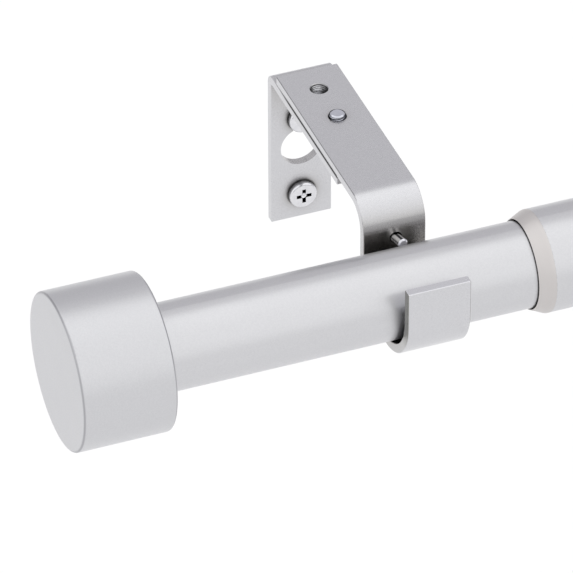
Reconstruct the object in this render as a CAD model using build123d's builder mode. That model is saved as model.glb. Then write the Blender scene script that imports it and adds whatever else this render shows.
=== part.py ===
from build123d import *
from math import cos, radians, sin, sqrt
import os

os.makedirs("parts", exist_ok=True)

# Extendable curtain rod on two wall brackets, in millimetres.
# X runs along the rod, Y into the wall and Z up. The origin lies in the plane of the wall,
# midway between the two wall screws of the left bracket.

# Telescoping tubes
outer_tube_diameter = 25.4
outer_tube_wall = 0.6
outer_tube_length = 634.3
inner_tube_diameter = 21.4
inner_tube_wall = 0.8
inner_tube_shown = 93.9
closing_travel = 18.0
closed_end_clearance = 16.0

# Clearances, each measured on the radius
sliding_clearance = 0.08
seat_clearance = 0.02

# Plastic collar on the open end of the outer tube
collar_lip = 0.4
collar_cone_length = 3.3
collar_band_length = 0.65
collar_sleeve_length = 30.0
collar_shoulder_radius = 2.4
collar_mouth_chamfer = 0.3

# Plastic guide in the hidden end of the inner tube
guide_flange_thickness = 3.0
guide_spigot_length = 15.0
guide_bore_diameter = 14.0

# Cap finials
cap_diameter = 38.7
cap_length = 23.2
cap_wall = 1.2
cap_edge_radius = 0.7
insert_recess = 0.8
insert_disc_thickness = 4.0
insert_groove_depth = 2.0
insert_skirt_length = 14.0
insert_skirt_wall = 1.6
insert_spigot_length = 18.0
insert_spigot_wall = 2.0
insert_slot_width = 1.6
insert_slot_length = 13.0
insert_slot_count = 4
insert_lead_in = 0.8

# Brackets, both bent from the same steel strip
strip_width = 15.875
strip_thickness = 2.35
strip_edge_radius = 0.25
bracket_to_finial = 66.75

# Wall plate
plate_height = 44.3
flange_length = 47.0
plate_bend_radius = 3.0
screw_spacing = 22.8
lower_screw_edge = 7.3
wall_hole_diameter = 4.2
keyhole_diameter = 10.8
keyhole_drop = 8.7
flange_slot_width = 5.6
flange_slot_front_edge = 9.0
flange_slot_travel = 19.0

# Arm
arm_wall_gap = 6.0
arm_reach = 58.5
arm_bend_radius = 8.0
arm_drop = 26.85
cradle_play = 1.0
cradle_corner_radius = 12.0
cradle_lip_height = 21.65
rod_forward_offset = 0.25
tapped_hole_diameter = 4.25
tapped_hole_chamfer = 0.2
tapped_hole_spacing = 12.3
front_tapped_hole = 20.75

# Adjusting screw, up through the flange slot into the arm
adjust_head_diameter = 9.0
adjust_head_height = 2.8
adjust_head_crown = 1.0
adjust_end_standing = 1.0
adjust_end_chamfer = 0.5
adjust_recess_span = 4.6
adjust_recess_turn = radians(15.0)

# Wall screws
wall_screw_diameter = 3.5
wall_neck_diameter = 2.7
wall_screw_length = 18.0
wall_screw_point = 5.0
wall_screw_tip_diameter = 0.4
wall_head_diameter = 7.2
wall_head_height = 1.9
wall_head_crown = 0.7
wall_recess_span = 3.9

# Cross recesses
recess_arm_width = 0.95
recess_core_diameter = 1.6
recess_depth = 1.3
recess_taper = 8.0
lower_recess_turn = radians(0.0)
upper_recess_turn = radians(70.0)

# Set screws, through the back of each cradle onto the tube
set_screw_diameter = 2.6
set_screw_tip_chamfer = 0.35
set_screw_length = 10.5
set_screw_socket = 1.3
set_screw_socket_depth = 2.0
set_screw_height = 16.5
set_screw_side_offset = 0.2
set_screw_turned_right = radians(9.0)
set_screw_turned_up = radians(6.0)
set_screw_standoff = 0.3
set_screw_hole_chamfer = 0.35

# Places worked out from the sizes above
inner_radius = inner_tube_diameter / 2
outer_radius = outer_tube_diameter / 2
inner_bore_radius = inner_radius - inner_tube_wall
outer_bore_radius = outer_radius - outer_tube_wall

cradle_width = outer_tube_diameter + cradle_play
lower_screw_z = -screw_spacing / 2
upper_screw_z = screw_spacing / 2
plate_bottom_z = lower_screw_z - lower_screw_edge
flange_top_z = plate_bottom_z + plate_height
arm_top_z = flange_top_z + strip_thickness
cradle_floor_z = arm_top_z - arm_drop
arm_back_y = -arm_wall_gap
cradle_back_y = arm_back_y - arm_reach
cradle_front_y = cradle_back_y - cradle_width
rod_y = cradle_back_y - cradle_width / 2 - rod_forward_offset
rod_z = cradle_floor_z + inner_radius

left_rim_x = -bracket_to_finial
inner_tube_start_x = left_rim_x - insert_recess - insert_groove_depth
collar_front_x = left_rim_x + inner_tube_shown
collar_shoulder_x = collar_front_x + collar_cone_length
outer_tube_start_x = collar_shoulder_x + collar_band_length
outer_tube_end_x = outer_tube_start_x + outer_tube_length
right_rim_x = outer_tube_end_x - insert_recess - insert_groove_depth
right_bracket_x = right_rim_x - bracket_to_finial

# Closed right up, the guide still stands clear of the insert in the far end of the outer tube.
guide_end_x = outer_tube_end_x - insert_spigot_length - closing_travel - closed_end_clearance
inner_tube_end_x = guide_end_x - guide_flange_thickness

# The larger tube rests higher in its cradle, so the right bracket hangs lower by the difference.
right_bracket_z = -(outer_radius - inner_radius)

rod_axis = Axis((0, rod_y, rod_z), (1, 0, 0))
rod_section = Plane(origin=(0, rod_y, rod_z), x_dir=(1, 0, 0), z_dir=(0, -1, 0))

# Each set screw stands a little askew in its tapped hole.
set_screw_direction = Vector(
    sin(set_screw_turned_right) * cos(set_screw_turned_up),
    -cos(set_screw_turned_right) * cos(set_screw_turned_up),
    sin(set_screw_turned_up),
)


def tube(start, end, radius, bore_radius):
    with BuildPart() as piece:
        with BuildSketch(Plane(origin=(start, rod_y, rod_z), z_dir=(1, 0, 0))):
            Circle(radius)
            Circle(bore_radius, mode=Mode.SUBTRACT)
        extrude(amount=end - start)
    return piece.part


def save(part, name):
    part.label = name
    export_step(part, f"parts/{name}.step")


def pan_head_screw(
    seat, head_diameter, head_height, crown, shank_diameter, length, point_length, tip_diameter, recess_span
):
    """Cross-recessed screw whose head rests on the seat plane and whose shank runs along its normal."""
    shank_radius = shank_diameter / 2
    half_plane = Plane(origin=seat.origin, x_dir=seat.x_dir, z_dir=seat.x_dir.cross(seat.z_dir))
    with BuildPart() as screw:
        with BuildSketch(half_plane) as half_section:
            with BuildLine():
                Polyline(
                    (0, -head_height),
                    (head_diameter / 2, -head_height),
                    (head_diameter / 2, 0),
                    (shank_radius, 0),
                    (shank_radius, length - point_length),
                    (tip_diameter / 2, length),
                    (0, length),
                    close=True,
                )
            make_face()
            head_rim = half_section.vertices().group_by(Axis.Y)[0].sort_by(Axis.X)[-1]
            fillet(head_rim, radius=crown)
        revolve(axis=Axis(seat.origin, seat.z_dir))
        with BuildSketch(seat.offset(-head_height)):
            Rectangle(recess_span, recess_arm_width)
            Rectangle(recess_arm_width, recess_span)
            Circle(recess_core_diameter / 2)
        extrude(amount=recess_depth, taper=recess_taper, mode=Mode.SUBTRACT)
    return screw.part


def set_screw_travel(entry, tube_radius):
    """Distance from entry to tip at which the lower rim of the tip stands just off the tube."""
    tip_radius = set_screw_diameter / 2 - set_screw_tip_chamfer
    along_y = set_screw_direction.Y
    along_z = set_screw_direction.Z
    rim_y = entry.Y - rod_y - tip_radius * along_z
    rim_z = entry.Z - rod_z + tip_radius * along_y
    reach = tube_radius + set_screw_standoff
    square = along_y**2 + along_z**2
    half_linear = rim_y * along_y + rim_z * along_z
    constant = rim_y**2 + rim_z**2 - reach**2
    return (-half_linear - sqrt(half_linear**2 - square * constant)) / square


# Inner tube
with BuildPart() as inner_tube:
    add(tube(inner_tube_start_x, inner_tube_end_x, inner_radius, inner_bore_radius))
save(inner_tube.part, "inner_tube")

# Outer tube
with BuildPart() as outer_tube:
    add(tube(outer_tube_start_x, outer_tube_end_x, outer_radius, outer_bore_radius))
save(outer_tube.part, "outer_tube")

# Collar: a blunt cone and a narrow band outside, and a sleeve inside the outer tube
collar_bore = inner_radius + sliding_clearance
collar_sleeve_end_x = outer_tube_start_x + collar_sleeve_length
with BuildPart() as collar:
    with BuildSketch(rod_section) as half_section:
        with BuildLine():
            Polyline(
                (collar_front_x, collar_bore),
                (collar_front_x, collar_bore + collar_lip),
                (collar_shoulder_x, outer_radius),
                (outer_tube_start_x, outer_radius),
                (outer_tube_start_x, outer_bore_radius - seat_clearance),
                (collar_sleeve_end_x, outer_bore_radius - seat_clearance),
                (collar_sleeve_end_x, collar_bore),
                close=True,
            )
        make_face()
        shoulder = half_section.vertices().group_by(Axis.Y)[-1].sort_by(Axis.X)[0]
        fillet(shoulder, radius=collar_shoulder_radius)
        mouth = half_section.vertices().group_by(Axis.X)[0].sort_by(Axis.Y)[0]
        chamfer(mouth, length=collar_mouth_chamfer)
    revolve(axis=rod_axis)
save(collar.part, "collar")

# Guide: a flange that runs in the outer tube, on a spigot pressed into the inner tube
with BuildPart() as inner_guide:
    with BuildSketch(Plane(origin=(inner_tube_end_x, rod_y, rod_z), z_dir=(1, 0, 0))):
        Circle(outer_bore_radius - sliding_clearance)
    extrude(amount=guide_flange_thickness)
    with BuildSketch(Plane(origin=(inner_tube_end_x, rod_y, rod_z), z_dir=(-1, 0, 0))):
        Circle(inner_bore_radius - seat_clearance)
    extrude(amount=guide_spigot_length)
    with BuildSketch(Plane(origin=(inner_tube_end_x, rod_y, rod_z), z_dir=(1, 0, 0))):
        Circle(guide_bore_diameter / 2)
    extrude(amount=guide_spigot_length, both=True, mode=Mode.SUBTRACT)
save(inner_guide.part, "inner_guide")

# Finials: a drawn metal cap round a plastic insert, whose slotted spigot grips inside the tube
cap_bore_radius = cap_diameter / 2 - cap_wall
finials = [
    ("left", left_rim_x, -1, inner_radius, inner_bore_radius),
    ("right", right_rim_x, 1, outer_radius, outer_bore_radius),
]
for side, rim_x, outward, tube_radius, tube_bore_radius in finials:
    rim_plane = Plane(origin=(rim_x, rod_y, rod_z), x_dir=(0, 0, 1), z_dir=(outward, 0, 0))

    with BuildPart() as finial_cap:
        with BuildSketch(rim_plane):
            Circle(cap_diameter / 2)
        extrude(amount=cap_length)
        fillet(finial_cap.edges().filter_by(GeomType.CIRCLE), radius=cap_edge_radius)
        with BuildSketch(rim_plane):
            Circle(cap_bore_radius)
        extrude(amount=cap_length - cap_wall, mode=Mode.SUBTRACT)
    save(finial_cap.part, f"{side}_finial_cap")

    groove_floor = insert_recess + insert_groove_depth
    spigot_radius = tube_bore_radius - sliding_clearance
    spigot_bore = spigot_radius - insert_spigot_wall
    disc_plane = rim_plane.offset(insert_recess)
    spigot_plane = Plane(
        origin=rim_plane.offset(groove_floor).origin, x_dir=(0, 0, 1), z_dir=(-outward, 0, 0)
    )
    spigot_tip = spigot_plane.offset(insert_spigot_length)
    with BuildPart() as finial_insert:
        with BuildSketch(disc_plane):
            Circle(cap_bore_radius - seat_clearance)
        extrude(amount=insert_disc_thickness)
        with BuildSketch(disc_plane):
            Circle(cap_bore_radius - seat_clearance)
            Circle(cap_bore_radius - insert_skirt_wall, mode=Mode.SUBTRACT)
        extrude(amount=insert_skirt_length)
        with BuildSketch(disc_plane):
            Circle(tube_radius + sliding_clearance)
        extrude(amount=insert_groove_depth, mode=Mode.SUBTRACT)
        with BuildSketch(spigot_plane):
            Circle(spigot_radius)
        extrude(amount=insert_spigot_length)
        tip_edge = finial_insert.edges().filter_by(
            lambda e: e.geom_type == GeomType.CIRCLE and abs(e.radius - spigot_radius) < 1e-6
        ).sort_by(Axis.X)[-1 if outward < 0 else 0]
        chamfer(tip_edge, length=insert_lead_in)
        with BuildSketch(spigot_tip):
            Circle(spigot_bore)
        extrude(amount=-insert_spigot_length, mode=Mode.SUBTRACT)
        with BuildSketch(spigot_tip):
            with PolarLocations(spigot_radius, insert_slot_count):
                Rectangle(2 * insert_spigot_wall + insert_lead_in, insert_slot_width)
        extrude(amount=-insert_slot_length, mode=Mode.SUBTRACT)
    save(finial_insert.part, f"{side}_finial_insert")

# Brackets
brackets = [
    ("left", 0.0, 0.0, inner_radius),
    ("right", right_bracket_x, right_bracket_z, outer_radius),
]
for side, bracket_x, bracket_z, tube_radius in brackets:
    strip_side = Plane.YZ.offset(bracket_x - strip_width / 2)
    wall_face = Plane(origin=(bracket_x, 0, bracket_z), x_dir=(1, 0, 0), z_dir=(0, -1, 0))
    flange_face = Plane(origin=(bracket_x, 0, bracket_z + flange_top_z))

    # Wall plate: an L with a keyhole and a round hole in the wall leg and a slot in the flange
    with BuildPart() as wall_plate:
        with BuildSketch(strip_side):
            with BuildLine():
                FilletPolyline(
                    (0, bracket_z + plate_bottom_z),
                    (0, bracket_z + flange_top_z),
                    (-flange_length, bracket_z + flange_top_z),
                    radius=plate_bend_radius,
                )
                offset(amount=strip_thickness, side=Side.LEFT)
            make_face()
        extrude(amount=strip_width)
        fillet(wall_plate.edges(), radius=strip_edge_radius)
        with BuildSketch(wall_face):
            with Locations((0, upper_screw_z - keyhole_drop)):
                Circle(keyhole_diameter / 2)
            with Locations((0, upper_screw_z - keyhole_drop / 2)):
                SlotCenterToCenter(keyhole_drop, wall_hole_diameter, rotation=90)
            with Locations((0, lower_screw_z)):
                Circle(wall_hole_diameter / 2)
        extrude(amount=strip_thickness, mode=Mode.SUBTRACT)
        with BuildSketch(flange_face):
            with Locations((0, -flange_length + flange_slot_front_edge + flange_slot_travel / 2)):
                SlotCenterToCenter(flange_slot_travel, flange_slot_width, rotation=90)
        extrude(amount=-strip_thickness, mode=Mode.SUBTRACT)
    save(wall_plate.part, f"{side}_wall_plate")

    # The adjusting screw sits in the front tapped hole, the set screw in the back of the cradle.
    adjust_y = arm_back_y - front_tapped_hole
    screw_entry_z = bracket_z + cradle_floor_z + set_screw_height
    screw_entry = Vector(bracket_x + set_screw_side_offset, cradle_back_y, screw_entry_z)
    screw_line = Plane(origin=screw_entry, z_dir=set_screw_direction)

    # Arm: bent down at the front and round into the cradle that the tube lies in
    with BuildPart() as arm:
        with BuildSketch(strip_side):
            with BuildLine():
                FilletPolyline(
                    (arm_back_y, bracket_z + arm_top_z),
                    (cradle_back_y, bracket_z + arm_top_z),
                    (cradle_back_y, bracket_z + cradle_floor_z),
                    (cradle_front_y, bracket_z + cradle_floor_z),
                    (cradle_front_y, bracket_z + cradle_floor_z + cradle_lip_height),
                    radius=[arm_bend_radius, cradle_corner_radius, cradle_corner_radius],
                )
                offset(amount=strip_thickness, side=Side.LEFT)
            make_face()
        extrude(amount=strip_width)
        fillet(arm.edges(), radius=strip_edge_radius)
        with Locations(flange_face.offset(strip_thickness)):
            with Locations((0, adjust_y), (0, adjust_y + tapped_hole_spacing)):
                CounterSinkHole(
                    radius=tapped_hole_diameter / 2,
                    counter_sink_radius=tapped_hole_diameter / 2 + tapped_hole_chamfer,
                    depth=strip_thickness,
                )
        with BuildSketch(screw_line):
            Circle(set_screw_diameter / 2 + seat_clearance)
        extrude(amount=2 * strip_thickness, both=True, mode=Mode.SUBTRACT)
        with Locations(screw_line):
            CounterSinkHole(
                radius=set_screw_diameter / 2 + seat_clearance,
                counter_sink_radius=set_screw_diameter / 2 + set_screw_hole_chamfer,
                depth=strip_thickness,
            )
    save(arm.part, f"{side}_arm")

    # Adjusting screw, its head under the flange and its end standing a little above the arm
    adjust_seat = Plane(
        origin=(bracket_x, adjust_y, bracket_z + flange_top_z - strip_thickness),
        x_dir=(cos(adjust_recess_turn), sin(adjust_recess_turn), 0),
        z_dir=(0, 0, 1),
    )
    adjust_shank_diameter = tapped_hole_diameter - 2 * seat_clearance
    adjust_tip_diameter = adjust_shank_diameter - 2 * adjust_end_chamfer
    adjust_screw_length = 2 * strip_thickness + adjust_end_standing
    with BuildPart() as adjust_screw:
        add(pan_head_screw(
            adjust_seat, adjust_head_diameter, adjust_head_height, adjust_head_crown, adjust_shank_diameter,
            adjust_screw_length, adjust_end_chamfer, adjust_tip_diameter, adjust_recess_span,
        ))
    save(adjust_screw.part, f"{side}_adjust_screw")

    # Wall screws: the upper one holds the keyhole, the lower one the round hole. Each has a plain neck
    # through the plate, thinner than the thread that starts at the wall.
    for place, screw_z, recess_turn in [
        ("upper", upper_screw_z, upper_recess_turn),
        ("lower", lower_screw_z, lower_recess_turn),
    ]:
        wall_seat = Plane(
            origin=(bracket_x, -strip_thickness, bracket_z + screw_z),
            x_dir=(cos(recess_turn), 0, sin(recess_turn)),
            z_dir=(0, 1, 0),
        )
        with BuildPart() as wall_screw:
            add(pan_head_screw(
                wall_seat, wall_head_diameter, wall_head_height, wall_head_crown, wall_screw_diameter,
                wall_screw_length, wall_screw_point, wall_screw_tip_diameter, wall_recess_span,
            ))
            with BuildSketch(wall_seat):
                Circle(wall_screw_diameter / 2)
                Circle(wall_neck_diameter / 2, mode=Mode.SUBTRACT)
            extrude(amount=strip_thickness, mode=Mode.SUBTRACT)
        save(wall_screw.part, f"{side}_{place}_wall_screw")

    # Set screw: a plain pin end towards the tube and a hexagon socket at the back
    tip_plane = screw_line.offset(set_screw_travel(screw_entry, tube_radius))
    tail_plane = tip_plane.offset(-set_screw_length)
    with BuildPart() as set_screw:
        with BuildSketch(tip_plane):
            Circle(set_screw_diameter / 2)
        extrude(amount=-set_screw_length)
        tip_edge = set_screw.edges().filter_by(GeomType.CIRCLE).sort_by(Axis.Y)[0]
        chamfer(tip_edge, length=set_screw_tip_chamfer)
        with BuildSketch(tail_plane):
            RegularPolygon(radius=set_screw_socket / 2, side_count=6, major_radius=False)
        extrude(amount=set_screw_socket_depth, mode=Mode.SUBTRACT)
    save(set_screw.part, f"{side}_set_screw")
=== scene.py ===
from math import cos, pi, radians, sin

import bmesh
import bpy
from mathutils import Matrix, Vector


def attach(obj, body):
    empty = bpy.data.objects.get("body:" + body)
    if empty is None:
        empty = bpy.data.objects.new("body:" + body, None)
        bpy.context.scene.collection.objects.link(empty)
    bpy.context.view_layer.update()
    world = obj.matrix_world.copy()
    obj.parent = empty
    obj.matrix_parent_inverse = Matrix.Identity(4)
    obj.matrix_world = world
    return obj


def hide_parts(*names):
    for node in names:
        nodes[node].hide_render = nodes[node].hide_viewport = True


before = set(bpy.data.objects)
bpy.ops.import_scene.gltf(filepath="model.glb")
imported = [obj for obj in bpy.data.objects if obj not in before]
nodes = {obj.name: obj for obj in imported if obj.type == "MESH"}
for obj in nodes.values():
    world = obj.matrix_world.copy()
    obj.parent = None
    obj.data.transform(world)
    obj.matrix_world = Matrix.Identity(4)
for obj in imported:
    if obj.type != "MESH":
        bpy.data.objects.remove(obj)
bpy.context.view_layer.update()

MM = 0.001

# The right bracket's shift from the left one, then sizes and places of the left one
RIGHT_BRACKET_X = 595.85 * MM
RIGHT_BRACKET_Z = -2.0 * MM
STRIP_THICKNESS = 2.35 * MM
FLANGE_TOP_Z = 25.6 * MM
FLANGE_UNDERSIDE_Z = 23.25 * MM
FLANGE_END_Y = -47.0 * MM
ARM_RIM_Z = 27.85 * MM
LIP_BACK_Y = (-90.7 * MM, -89.5 * MM)
WALL_SCREW_Z = 11.4 * MM
ADJUST_SCREW_Y = -26.75 * MM
SPARE_HOLE_Y = -14.45 * MM
PIN_DIRECTION = (0.1556, -0.9823, 0.1045)

# Painted shade and painted light on a bracket's edges and a cap's rims, and the bands that they
# fade over
SEAM_HALF_WIDTH = 0.50 * MM
SEAM_FADE = (-15 * MM, -8 * MM)
SEAM_PAINTED_SHADE = (0.012, 0.012, 0.013)
RIM_HALF_WIDTH = 0.20 * MM
RIM_PAINTED_SHADE = (0.30, 0.30, 0.31)
LIP_FADE = (5.5 * MM, 10.5 * MM)
LIP_SIDE_PAINTED_SHADE = (0.21, 0.21, 0.195)
LIP_INSIDE_PAINTED_LIGHT = (0.93, 0.93, 0.94)
LIP_TOP_PAINTED_LIGHT = (0.69, 0.69, 0.72)
CAP_RIM_PAINTED_SHADE = (0.38, 0.38, 0.40)

# Painted shade in sheltered places: reach, power of the fade, darkest tone, and whether faces
# towards +Y stay plain
TUBE_GAP = (1.2 * MM, 1.0, (0.25, 0.25, 0.25))
# The strip gap's painted shade stands in for the dark reflections on the arms' front faces
STRIP_GAP = (13.2 * MM, 2.1, (0.31, 0.297, 0.278), True)
CREVICE = (0.5 * MM, 1.5, (0.03, 0.03, 0.03))
SEAM = (0.5 * MM, 2.5, (0.01, 0.01, 0.011))
HEAD_GAP = (1.8 * MM, 3.0, (0.006, 0.006, 0.007))
END_GAP = (0.35 * MM, 1.4, (0.03, 0.03, 0.03))
SHELTER_SAMPLES = 12
# Duller sheen in the same sheltered places: reach and rise of the roughness
DULL_REACH = 2.6 * MM
DULL_RISE = 0.26

# Screws
WALL_SCREW_LENGTH = 18 * MM
WALL_SCREW_INSET = 0.02 * MM
NECK_RADIUS = 1.34 * MM
HEAD_END = 0.4 * MM
END_DISC_SHARE = 0.80
BORE_RADIUS = 2.15 * MM
BORE_FLOOR_RADIUS = 2.1 * MM
BORE_FLOOR_HEIGHT = 0.06 * MM
THINNEST = 0.01 * MM
SHARP_ANGLE = radians(32)
SHANK_STEPS = 32
CONE_STEPS = 24
CONE_RINGS = ((0.74 * MM, -1.62 * MM), (0.42 * MM, -1.30 * MM), (0.10 * MM, -1.12 * MM))
# One turn of a thread: share of the pitch, and lift from the core to the crest
THREAD_PROFILE = ((0.0, 0.0), (0.42, 0.0), (0.66, 1.0), (0.74, 1.0))

# Camera
CAMERA_YAW = radians(20.7188)
CAMERA_PITCH = radians(37.0789)
CAMERA_ROLL = radians(-0.1801)
CAMERA_PLACE = (-461.95 * MM, -1213.01 * MM, 938.48 * MM)
CAMERA_LENS = 407.51
SENSOR_WIDTH = 36.0

# Floor, tent and lamp
FLOOR_HEIGHT = -0.32
FLOOR_HALF_SIZE = 12.0
FLOOR_CENTRE_X = 0.3
FLOOR_TONE = (0.80, 0.80, 0.80, 1)
FLOOR_GLOW = 0.08
TENT_LEAN = radians(40)
TENT_STRENGTH = 1.35
TENT_SKIRT = 0.86
TENT_SKIRT_HEIGHTS = (-0.05, 0.45)
# Place from the far side of the tent to its middle, and tone
TENT_TONES = (
    (0.0, 0.735), (0.50, 0.735), (0.56, 1.07), (0.61, 1.39),
    (0.68, 1.39), (0.76, 1.34), (0.90, 1.25), (1.0, 1.17),
)
TENT_GREY_TINT = (1.0, 0.988, 1.02)
LAMP_AIM = Vector((0.0, -0.05, 0.0))
LAMP_DISTANCE = 1.6
LAMP_SIZE = (1.6, 1.0)
LAMP_WATTS = 2.1


# Shader nodes

def new_material(name, metallic):
    mat = bpy.data.materials.new(name)
    mat.use_nodes = True
    bsdf = mat.node_tree.nodes["Principled BSDF"]
    bsdf.inputs["Metallic"].default_value = metallic
    return mat, mat.node_tree, bsdf


def plug(tree, given, socket):
    """Sets a socket to a number, or links another node's output to it."""
    if isinstance(given, (int, float)):
        socket.default_value = given
    else:
        tree.links.new(given, socket)


def compute(tree, operation, *given):
    node = tree.nodes.new("ShaderNodeMath")
    node.operation = operation
    for value, socket in zip(given, node.inputs):
        plug(tree, value, socket)
    return node.outputs[0]


def product(tree, first, *others):
    for other in others:
        first = compute(tree, "MULTIPLY", first, other)
    return first


def mix_colours(tree, share, first, second):
    """From the first colour to the second as the share goes from 0 to 1."""
    node = tree.nodes.new("ShaderNodeMix")
    node.data_type = "RGBA"
    tree.links.new(share, node.inputs["Factor"])
    for colour, key in ((first, "A"), (second, "B")):
        if isinstance(colour, tuple):
            node.inputs[key].default_value = (*colour, 1)
        else:
            tree.links.new(colour, node.inputs[key])
    return node.outputs["Result"]


def vector_result(tree, operation, first, second, output="Vector"):
    """A vector calculation; the second vector is an output or three plain numbers."""
    node = tree.nodes.new("ShaderNodeVectorMath")
    node.operation = operation
    tree.links.new(first, node.inputs[0])
    if isinstance(second, bpy.types.NodeSocket):
        tree.links.new(second, node.inputs[1])
    else:
        node.inputs[1].default_value = second
    return node.outputs[output]


def axes(tree, vector):
    node = tree.nodes.new("ShaderNodeSeparateXYZ")
    tree.links.new(vector, node.inputs[0])
    return node.outputs


def object_coords(tree):
    return tree.nodes.new("ShaderNodeTexCoord").outputs["Object"]


def surface(tree, output):
    """The shaded point's own Position or Normal."""
    return tree.nodes.new("ShaderNodeNewGeometry").outputs[output]


def noise(tree, coords, scale, detail, roughness=0.5):
    node = tree.nodes.new("ShaderNodeTexNoise")
    node.inputs["Scale"].default_value = scale
    node.inputs["Detail"].default_value = detail
    node.inputs["Roughness"].default_value = roughness
    tree.links.new(coords, node.inputs["Vector"])
    return node.outputs["Fac"]


def ramp(tree, fac, low, high, start=0.3, end=0.7):
    node = tree.nodes.new("ShaderNodeValToRGB")
    for element, place, tone in zip(node.color_ramp.elements, (start, end), (low, high)):
        element.position = place
        element.color = (*tone, 1)
    tree.links.new(fac, node.inputs["Fac"])
    return node.outputs["Color"]


def spread(tree, fac, low, high, start=0.3, end=0.7):
    """The value goes from low to high as the input goes from start to end."""
    node = tree.nodes.new("ShaderNodeMapRange")
    node.inputs["From Min"].default_value = start
    node.inputs["From Max"].default_value = end
    node.inputs["To Min"].default_value = low
    node.inputs["To Max"].default_value = high
    tree.links.new(fac, node.inputs["Value"])
    return node.outputs["Result"]


def bump(tree, *layers):
    """Each layer is a height, a strength and a distance."""
    normal = None
    for height, strength, distance in layers:
        node = tree.nodes.new("ShaderNodeBump")
        plug(tree, strength, node.inputs["Strength"])
        node.inputs["Distance"].default_value = distance
        tree.links.new(height, node.inputs["Height"])
        if normal is not None:
            tree.links.new(normal, node.inputs["Normal"])
        normal = node.outputs["Normal"]
    return normal


def finish_with(tree, bsdf, colour, rough, normal):
    tree.links.new(colour, bsdf.inputs["Base Color"])
    tree.links.new(rough, bsdf.inputs["Roughness"])
    tree.links.new(normal, bsdf.inputs["Normal"])


# Painted shade, painted light and duller sheen that follow the shape

def open_share(tree, reach):
    """1 where nothing stands within the reach, less in gaps and inside corners."""
    node = tree.nodes.new("ShaderNodeAmbientOcclusion")
    node.samples = SHELTER_SAMPLES
    node.inputs["Distance"].default_value = reach
    return node.outputs["AO"]


def paint_gap_shade(tree, colour, reach, power, darkest, wall_side_plain=False):
    """Painted shade: darkens a colour in gaps and inside corners, where less light reaches."""
    share = compute(tree, "POWER", open_share(tree, reach), power)
    if wall_side_plain:
        facing = axes(tree, surface(tree, "Normal"))
        share = compute(tree, "MAXIMUM", share, spread(tree, facing["Y"], 0.0, 1.0))
    return mix_colours(tree, share, darkest, colour)


def dulled_front(tree, rough):
    """A duller sheen in the sheltered places of the faces that look towards -Y."""
    hidden = spread(tree, open_share(tree, DULL_REACH), DULL_RISE, 0.0, start=0.6, end=1.0)
    facing = axes(tree, surface(tree, "Normal"))
    outward = spread(tree, facing["Y"], 1.0, 0.0, start=-0.7, end=-0.3)
    return compute(tree, "MULTIPLY_ADD", hidden, outward, rough)


def bracket_painted_light(tree, colour):
    """Painted shade in the groove between flange and arm and along the top edge of the arm's
    sides; painted shade on the sides of the cradle's lip and painted light on its top and inside
    face.
    """
    own = axes(tree, object_coords(tree))
    placed = axes(tree, surface(tree, "Position"))
    facing = axes(tree, surface(tree, "Normal"))
    is_right = compute(tree, "GREATER_THAN", own["X"], RIGHT_BRACKET_X / 2)
    above = compute(tree, "MULTIPLY_ADD", is_right, -RIGHT_BRACKET_Z, own["Z"])
    sideways = compute(tree, "ABSOLUTE", facing["X"])
    sideways = spread(tree, sideways, 0.0, 1.0, start=0.2, end=0.6)

    # Painted shade: a dark line along the groove between flange and arm
    off_seam = compute(tree, "ABSOLUTE", compute(tree, "SUBTRACT", above, FLANGE_TOP_Z))
    seam = product(
        tree,
        spread(tree, off_seam, 1.0, 0.0, start=SEAM_HALF_WIDTH * 0.5, end=SEAM_HALF_WIDTH * 1.3),
        compute(tree, "GREATER_THAN", placed["Y"], FLANGE_END_Y),
        spread(tree, placed["Y"], 1.0, 0.0, *SEAM_FADE),
        sideways,
    )
    # Painted shade: a darker line along the rounded top edge of the arm's sides
    off_rim = compute(tree, "ABSOLUTE", compute(tree, "SUBTRACT", above, ARM_RIM_Z))
    rim = spread(tree, off_rim, 1.0, 0.0, start=RIM_HALF_WIDTH * 0.5, end=RIM_HALF_WIDTH)
    rim = product(tree, rim, sideways)

    on_lip = spread(tree, own["Y"], 1.0, 0.0, *LIP_BACK_Y)
    # Painted shade on the lip's sides, darkest high up and fading out lower down
    lip_side = product(tree, on_lip, sideways, spread(tree, above, 0.0, 1.0, *LIP_FADE))
    # Painted light: a lighter top face and a lighter inside face on the lip
    lip_top = product(tree, on_lip, spread(tree, facing["Z"], 0.0, 0.8, start=0.6, end=0.9))
    lip_inside = product(tree, on_lip, spread(tree, facing["Y"], 0.0, 1.0, start=0.6, end=0.9))
    for share, tone in (
        (rim, RIM_PAINTED_SHADE),
        (seam, SEAM_PAINTED_SHADE),
        (lip_side, LIP_SIDE_PAINTED_SHADE),
        (lip_top, LIP_TOP_PAINTED_LIGHT),
        (lip_inside, LIP_INSIDE_PAINTED_LIGHT),
    ):
        colour = mix_colours(tree, share, colour, tone)
    return colour


def cap_rim_painted_shade(tree, colour):
    """Painted shade: a darker line on the rounded rims of a cap that lies along X."""
    facing = axes(tree, surface(tree, "Normal"))
    sideways = compute(tree, "ABSOLUTE", facing["X"])
    on_rim = product(
        tree,
        spread(tree, sideways, 0.0, 1.0, start=0.25, end=0.5),
        spread(tree, sideways, 1.0, 0.0, start=0.8, end=0.97),
    )
    return mix_colours(tree, on_rim, colour, CAP_RIM_PAINTED_SHADE)


# Materials

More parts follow.
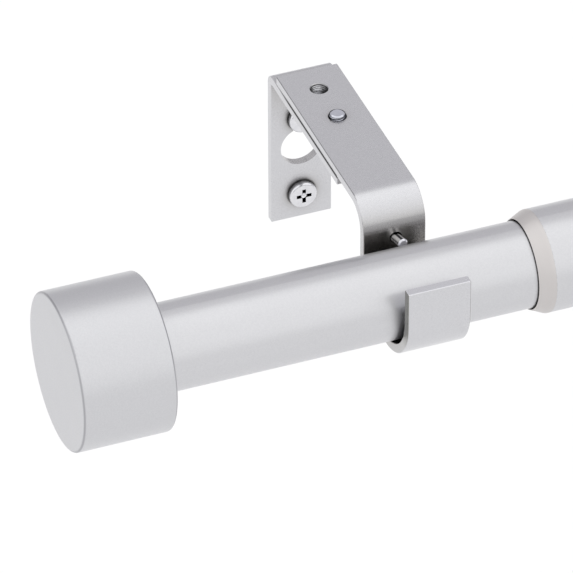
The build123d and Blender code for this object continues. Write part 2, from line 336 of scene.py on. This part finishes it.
def satin_metal(name, tones, sheen, grain_scale, grain_bump, gaps, edges=None, rough_by=None):
    """Satin plated metal: fine blasted grain, faint clouding of tone and sheen."""
    mat, tree, bsdf = new_material(name, metallic=1.0)
    coords = object_coords(tree)
    grain = noise(tree, coords, scale=grain_scale, detail=2.0, roughness=0.6)
    cloud = noise(tree, coords, scale=60.0, detail=3.0)
    speck = noise(tree, coords, scale=grain_scale * 1.7, detail=1.0)
    colour = ramp(tree, grain, *tones)
    # Painted shade in gaps and inside corners
    for gap in gaps:
        colour = paint_gap_shade(tree, colour, *gap)
    # Painted shade and painted light along edges and rims
    if edges:
        colour = edges(tree, colour)
    rough = compute(tree, "ADD", spread(tree, cloud, *sheen), spread(tree, speck, -0.03, 0.03))
    if rough_by:
        rough = rough_by(tree, rough)
    normal = bump(tree, (grain, grain_bump, 0.03 * MM), (cloud, 0.05, 0.2 * MM))
    finish_with(tree, bsdf, colour, rough, normal)
    return mat


def bright_metal(name, tones, sheen, gaps=()):
    """Bright zinc plating with light handling marks."""
    mat, tree, bsdf = new_material(name, metallic=1.0)
    coords = object_coords(tree)
    cloud = noise(tree, coords, scale=700.0, detail=3.0, roughness=0.6)
    grain = noise(tree, coords, scale=4200.0, detail=2.0)
    colour = ramp(tree, cloud, *tones)
    # Painted shade in gaps and inside corners
    for gap in gaps:
        colour = paint_gap_shade(tree, colour, *gap)
    normal = bump(tree, (grain, 0.12, 0.01 * MM))
    finish_with(tree, bsdf, colour, spread(tree, cloud, *sheen), normal)
    return mat


def pin_with_painted_streaks(name, direction, tones, end_tone):
    """Polished pin with painted reflection streaks, bright and dark lines along its length, and a
    plain end.
    """
    mat, tree, bsdf = new_material(name, metallic=1.0)
    coords = object_coords(tree)
    along = vector_result(tree, "PROJECT", coords, direction)
    across = vector_result(tree, "SUBTRACT", coords, along)
    lines = noise(tree, across, scale=1500.0, detail=2.0)
    facing = vector_result(tree, "DOT_PRODUCT", surface(tree, "Normal"), direction, "Value")
    at_end = {"start": 0.35, "end": 0.6}
    # Painted reflection: dark and bright streaks along the pin
    streaks = ramp(tree, lines, *tones, start=0.40, end=0.46)
    colour = mix_colours(tree, spread(tree, facing, 0.0, 1.0, **at_end), streaks, end_tone)
    normal = bump(tree, (lines, spread(tree, facing, 0.2, 0.0, **at_end), 0.04 * MM))
    finish_with(tree, bsdf, colour, spread(tree, lines, 0.16, 0.08), normal)
    return mat


def bore_metal(name, radius, tones):
    """Cut thread in a bore along Z, with painted light bright in the middle of each wall and
    painted shade dark at the two sides.
    """
    mat, tree, bsdf = new_material(name, metallic=1.0)
    coords = object_coords(tree)
    cloud = noise(tree, coords, scale=1400.0, detail=2.0)
    # Painted light in the middle of the bore's walls, painted shade at its two sides
    away = compute(tree, "ABSOLUTE", axes(tree, coords)["X"])
    side = compute(tree, "MULTIPLY_ADD", away, 1 / radius, spread(tree, cloud, -0.06, 0.06))
    colour = ramp(tree, side, *tones, start=0.35, end=0.98)
    normal = bump(tree, (cloud, 0.08, 0.02 * MM))
    finish_with(tree, bsdf, colour, spread(tree, cloud, 0.26, 0.34), normal)
    return mat


def plastic(name, tones, sheen, skin_bump, painted):
    """Moulded plastic with a fine eroded skin, bare or under a thin satin metal paint."""
    mat, tree, bsdf = new_material(name, metallic=0.8 if painted else 0.0)
    coords = object_coords(tree)
    skin = noise(tree, coords, scale=2600.0, detail=3.0, roughness=0.6)
    cloud = noise(tree, coords, scale=90.0, detail=2.0)
    colour = ramp(tree, cloud, *tones)
    if painted:
        # Painted shade in the crevices of the painted plastic
        colour = paint_gap_shade(tree, colour, *CREVICE)
    else:
        bsdf.inputs["IOR"].default_value = 1.46
    normal = bump(tree, (skin, skin_bump, 0.03 * MM))
    finish_with(tree, bsdf, colour, spread(tree, skin, *sheen), normal)
    return mat


tube_metal = satin_metal(
    "tube_metal", tones=((0.575, 0.575, 0.594), (0.613, 0.613, 0.629)), sheen=(0.32, 0.36),
    grain_scale=2600.0, grain_bump=0.12, gaps=(TUBE_GAP, CREVICE),
)
cap_metal = satin_metal(
    "cap_metal", tones=((0.557, 0.558, 0.577), (0.595, 0.596, 0.613)), sheen=(0.32, 0.36),
    grain_scale=2600.0, grain_bump=0.12, gaps=(CREVICE,), edges=cap_rim_painted_shade,
)
bracket_metal = satin_metal(
    "bracket_metal", tones=((0.57, 0.57, 0.591), (0.618, 0.618, 0.637)), sheen=(0.23, 0.27),
    grain_scale=2200.0, grain_bump=0.15, gaps=(STRIP_GAP, SEAM), edges=bracket_painted_light,
    rough_by=dulled_front,
)
screw_metal = bright_metal(
    "screw_metal", tones=((0.65, 0.65, 0.68), (0.74, 0.74, 0.76)), sheen=(0.14, 0.22),
    gaps=(HEAD_GAP,),
)
# A lighter copy of the screw metal: painted light for the bright middle of the cross recess
recess_painted_light_metal = bright_metal(
    "recess_painted_light_metal", tones=((0.70, 0.70, 0.73), (0.84, 0.84, 0.86)), sheen=(0.20, 0.30),
)
adjust_metal = bright_metal(
    "adjust_metal", tones=((0.52, 0.53, 0.59), (0.61, 0.62, 0.68)), sheen=(0.08, 0.14),
    gaps=(END_GAP,),
)
thread_metal = bore_metal(
    "thread_metal", BORE_RADIUS, tones=((0.60, 0.60, 0.62), (0.07, 0.07, 0.072)),
)
pin_metal = pin_with_painted_streaks(
    "pin_metal", PIN_DIRECTION, tones=((0.06, 0.06, 0.07), (0.90, 0.90, 0.92)),
    end_tone=(0.62, 0.62, 0.66),
)
collar_plastic = plastic(
    "collar_plastic", tones=((0.538, 0.515, 0.508), (0.568, 0.545, 0.538)), sheen=(0.36, 0.42),
    skin_bump=0.15, painted=True,
)
white_plastic = plastic(
    "white_plastic", tones=((0.70, 0.70, 0.68), (0.74, 0.74, 0.72)), sheen=(0.42, 0.50),
    skin_bump=0.18, painted=False,
)

finish_of = {
    "inner_tube": tube_metal,
    "outer_tube": tube_metal,
    "collar": collar_plastic,
    "inner_guide": white_plastic,
}
for side in ("left", "right"):
    finish_of[f"{side}_finial_cap"] = cap_metal
    finish_of[f"{side}_finial_insert"] = white_plastic
    finish_of[f"{side}_wall_plate"] = bracket_metal
    finish_of[f"{side}_arm"] = bracket_metal
    finish_of[f"{side}_adjust_screw"] = adjust_metal
    finish_of[f"{side}_upper_wall_screw"] = screw_metal
    finish_of[f"{side}_lower_wall_screw"] = screw_metal
    finish_of[f"{side}_set_screw"] = pin_metal

for name, mat in finish_of.items():
    mesh = nodes[name].data
    if not mesh.materials:
        mesh.materials.append(mat)
    for index in range(len(mesh.materials)):
        mesh.materials[index] = mat


# Screws and threads

def mesh_from(bm, name):
    mesh = bpy.data.meshes.new(name)
    bm.to_mesh(mesh)
    bm.free()
    return mesh


def add_piece(name, bm, mat, body, replaced=(), place=None):
    mesh = mesh_from(bm, name)
    piece = bpy.data.objects.new(name, mesh)
    if place:
        piece.matrix_world = place
    bpy.context.scene.collection.objects.link(piece)
    mesh.materials.clear()
    mesh.materials.append(mat)
    mesh.shade_smooth()
    mesh.set_sharp_from_angle(angle=SHARP_ANGLE)
    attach(piece, body)
    if replaced:
        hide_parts(*replaced)


def add_vertex(bm, seat, radius, angle, height):
    return bm.verts.new(seat @ Vector((radius * cos(angle), radius * sin(angle), height)))


def add_ring(bm, seat, radius, height, steps):
    return [add_vertex(bm, seat, radius, 2 * pi * step / steps, height) for step in range(steps)]


def add_band(bm, low, high):
    for step in range(len(low)):
        after = (step + 1) % len(low)
        bm.faces.new((low[step], low[after], high[after], high[step]))


def add_thread(bm, seat, start, length, pitch, core, crest, point=0.0):
    """A helical ridge from start along the seat's +Z, tapered over the last stretch, the point."""
    rings = []
    for turn in range(-1, int(length / pitch) + 2):
        for share, lift in THREAD_PROFILE:
            ring = []
            for step in range(SHANK_STEPS):
                inside = (turn + share + step / SHANK_STEPS) * pitch
                inside = min(max(inside, 0.0), length)
                taper = min(1.0, (length - inside) / point) if point else 1.0
                swell = min(1.0, inside / pitch)
                radius = max((core + (crest - core) * lift * swell) * taper, THINNEST)
                angle = 2 * pi * step / SHANK_STEPS
                ring.append(add_vertex(bm, seat, radius, angle, start + inside))
            rings.append(ring)
    # The last vertex of a ring is a turn above its first, so it joins the ring one pitch on.
    for index, (low, high) in enumerate(zip(rings, rings[1:])):
        for step in range(SHANK_STEPS - 1):
            bm.faces.new((low[step], low[step + 1], high[step + 1], high[step]))
        after = index + len(THREAD_PROFILE)
        if after + 1 < len(rings):
            bm.faces.new((low[-1], rings[after][0], rings[after + 1][0], high[-1]))


def add_end(bm, seat, radius, foot, height):
    """A chamfer and a flat disc; the disc has its own vertices, so that it shades flat."""
    lip = add_ring(bm, seat, radius, foot, SHANK_STEPS)
    edge = add_ring(bm, seat, END_DISC_SHARE * radius, foot + height, SHANK_STEPS)
    add_band(bm, lip, edge)
    bm.faces.new([bm.verts.new(vertex.co) for vertex in edge])


def head_of(node, seat):
    """A copy of the node's mesh with the shank past the seat cut away."""
    bm = bmesh.new()
    bm.from_mesh(nodes[node].data)
    inverse = seat.inverted()
    past = [vertex for vertex in bm.verts if (inverse @ vertex.co).z > HEAD_END]
    bmesh.ops.delete(bm, geom=past, context="VERTS")
    return bm


def recess_cone(seat):
    """The conical middle of a cross recess, a little below the face of the head, bright with
    painted light in its metal.
    """
    bm = bmesh.new()
    rings = [add_ring(bm, seat, radius, height, CONE_STEPS) for radius, height in CONE_RINGS]
    for low, high in zip(rings, rings[1:]):
        add_band(bm, low, high)
    bm.faces.new(rings[-1])
    return bm


for side, body, bracket_x, bracket_z in (
    ("left", "left_plate", 0.0, 0.0),
    ("right", "right_plate", RIGHT_BRACKET_X, RIGHT_BRACKET_Z),
):
    for place, height in (("upper", WALL_SCREW_Z), ("lower", -WALL_SCREW_Z)):
        node = f"{side}_{place}_wall_screw"
        seat = Matrix.Translation((bracket_x, -STRIP_THICKNESS, bracket_z + height))
        seat = seat @ Matrix.Rotation(radians(-90), 4, "X")
        bm = head_of(node, seat)
        neck_foot = add_ring(bm, seat, NECK_RADIUS, 0.0, SHANK_STEPS)
        neck_end = add_ring(bm, seat, NECK_RADIUS, STRIP_THICKNESS, SHANK_STEPS)
        add_band(bm, neck_foot, neck_end)
        add_thread(
            bm, seat, start=STRIP_THICKNESS,
            length=WALL_SCREW_LENGTH - STRIP_THICKNESS - WALL_SCREW_INSET,
            pitch=1.6 * MM, core=1.18 * MM, crest=1.72 * MM, point=5 * MM,
        )
        add_piece(f"{node}_threaded", bm, screw_metal, body, [node])
        add_piece(f"{node}_recess", recess_cone(seat), recess_painted_light_metal, body)

for side, body, bracket_x, bracket_z in (
    ("left", "inner_rod", 0.0, 0.0),
    ("right", "outer_rod", RIGHT_BRACKET_X, RIGHT_BRACKET_Z),
):
    node = f"{side}_adjust_screw"
    seat = Matrix.Translation((bracket_x, ADJUST_SCREW_Y, bracket_z + FLANGE_UNDERSIDE_Z))
    length, core = 5.38 * MM, 1.82 * MM
    bm = head_of(node, seat)
    add_thread(bm, seat, start=0.0, length=length, pitch=0.7 * MM, core=core, crest=1.98 * MM)
    add_end(bm, seat, core, foot=length, height=0.30 * MM)
    add_piece(f"{node}_threaded", bm, adjust_metal, body, [node])

    # The thread inside the spare tapped hole, down to the flange under it
    hole = Matrix.Translation((bracket_x, SPARE_HOLE_Y, bracket_z + FLANGE_TOP_Z))
    own = Matrix.Identity(4)
    bm = bmesh.new()
    add_thread(
        bm, own, start=0.15 * MM, length=2.0 * MM, pitch=0.5 * MM, core=2.115 * MM,
        crest=2.02 * MM,
    )
    bm.faces.new(add_ring(bm, own, BORE_FLOOR_RADIUS, BORE_FLOOR_HEIGHT, SHANK_STEPS))
    add_piece(f"{side}_spare_thread", bm, thread_metal, body, place=hole)


# Camera

forward = Vector((
    sin(CAMERA_YAW) * cos(CAMERA_PITCH),
    cos(CAMERA_YAW) * cos(CAMERA_PITCH),
    -sin(CAMERA_PITCH),
))
level = Vector((cos(CAMERA_YAW), -sin(CAMERA_YAW), 0.0))
upward = level.cross(forward)
right = level * cos(CAMERA_ROLL) + upward * sin(CAMERA_ROLL)
upward = upward * cos(CAMERA_ROLL) - level * sin(CAMERA_ROLL)
camera_data = bpy.data.cameras.new("camera")
camera_data.sensor_width = SENSOR_WIDTH
camera_data.lens = CAMERA_LENS
camera_data.clip_start = 0.01
camera_data.clip_end = 50.0
camera = bpy.data.objects.new("camera", camera_data)
bpy.context.scene.collection.objects.link(camera)
rows = [(right[i], upward[i], -forward[i], CAMERA_PLACE[i]) for i in range(3)]
camera.matrix_world = Matrix((*rows, (0.0, 0.0, 0.0, 1.0)))
bpy.context.scene.camera = camera


# Floor, world and lamp

def add_floor():
    """A white floor that glows a little for the camera and in reflections."""
    bm = bmesh.new()
    bmesh.ops.create_grid(bm, x_segments=8, y_segments=8, size=FLOOR_HALF_SIZE)
    mesh = mesh_from(bm, "floor")
    floor = bpy.data.objects.new("floor", mesh)
    bpy.context.scene.collection.objects.link(floor)
    floor.location = (FLOOR_CENTRE_X, 0.0, FLOOR_HEIGHT)
    mat = bpy.data.materials.new("floor")
    mat.use_nodes = True
    tree = mat.node_tree
    tree.nodes.clear()
    diffuse = tree.nodes.new("ShaderNodeBsdfDiffuse")
    diffuse.inputs["Color"].default_value = FLOOR_TONE
    path = tree.nodes.new("ShaderNodeLightPath")
    seen = path.outputs["Is Camera Ray"]
    for ray in ("Is Glossy Ray", "Is Transmission Ray"):
        seen = compute(tree, "MAXIMUM", seen, path.outputs[ray])
    glow = tree.nodes.new("ShaderNodeEmission")
    tree.links.new(product(tree, seen, FLOOR_GLOW), glow.inputs["Strength"])
    both = tree.nodes.new("ShaderNodeAddShader")
    tree.links.new(diffuse.outputs[0], both.inputs[0])
    tree.links.new(glow.outputs[0], both.inputs[1])
    out = tree.nodes.new("ShaderNodeOutputMaterial")
    tree.links.new(both.outputs[0], out.inputs["Surface"])
    mesh.materials.append(mat)


def add_tent(middle):
    """A studio tent: brightest overhead and in front, plain grey behind the object."""
    world = bpy.data.worlds.new("world")
    bpy.context.scene.world = world
    world.use_nodes = True
    tree = world.node_tree
    tree.nodes.clear()
    coords = tree.nodes.new("ShaderNodeTexCoord").outputs["Generated"]
    toward = vector_result(tree, "DOT_PRODUCT", coords, middle, "Value")
    shade = tree.nodes.new("ShaderNodeValToRGB")
    shade.color_ramp.interpolation = "B_SPLINE"
    elements = shade.color_ramp.elements
    while len(elements) < len(TENT_TONES):
        elements.new(0.5)
    # All the places come first, because a new place can change the order of the elements.
    for element, (place, _) in zip(elements, TENT_TONES):
        element.position = place
    for element, (_, tone) in zip(elements, TENT_TONES):
        tint = TENT_GREY_TINT if tone < 1 else (1.0, 1.0, 1.0)
        element.color = (*(tone / TENT_STRENGTH * share for share in tint), 1)
    tree.links.new(spread(tree, toward, 0.0, 1.0, start=-1.0, end=1.0), shade.inputs["Fac"])
    skirt_start, skirt_end = TENT_SKIRT_HEIGHTS
    skirt = spread(tree, axes(tree, coords)["Z"], TENT_SKIRT, 1.0, skirt_start, skirt_end)
    dimmed = tree.nodes.new("ShaderNodeVectorMath")
    dimmed.operation = "SCALE"
    tree.links.new(shade.outputs["Color"], dimmed.inputs[0])
    tree.links.new(skirt, dimmed.inputs["Scale"])
    light = tree.nodes.new("ShaderNodeBackground")
    light.inputs["Strength"].default_value = TENT_STRENGTH
    tree.links.new(dimmed.outputs["Vector"], light.inputs["Color"])
    out = tree.nodes.new("ShaderNodeOutputWorld")
    tree.links.new(light.outputs[0], out.inputs["Surface"])


def add_lamp(name, place, aim):
    data = bpy.data.lights.new(name, "AREA")
    data.shape = "RECTANGLE"
    data.size, data.size_y = LAMP_SIZE
    data.energy = LAMP_WATTS
    lamp = bpy.data.objects.new(name, data)
    bpy.context.scene.collection.objects.link(lamp)
    lamp.location = place
    lamp.rotation_mode = "QUATERNION"
    lamp.rotation_quaternion = (aim - place).to_track_quat("-Z", "Y")
    lamp.visible_glossy = False


add_floor()
front = Vector((-sin(CAMERA_YAW), -cos(CAMERA_YAW), 0.0))
tent = front * cos(TENT_LEAN) + Vector((0, 0, sin(TENT_LEAN)))
add_tent(tent)
add_lamp("overhead", LAMP_AIM + tent * LAMP_DISTANCE, LAMP_AIM)

bpy.context.scene.view_settings.view_transform = "Standard"
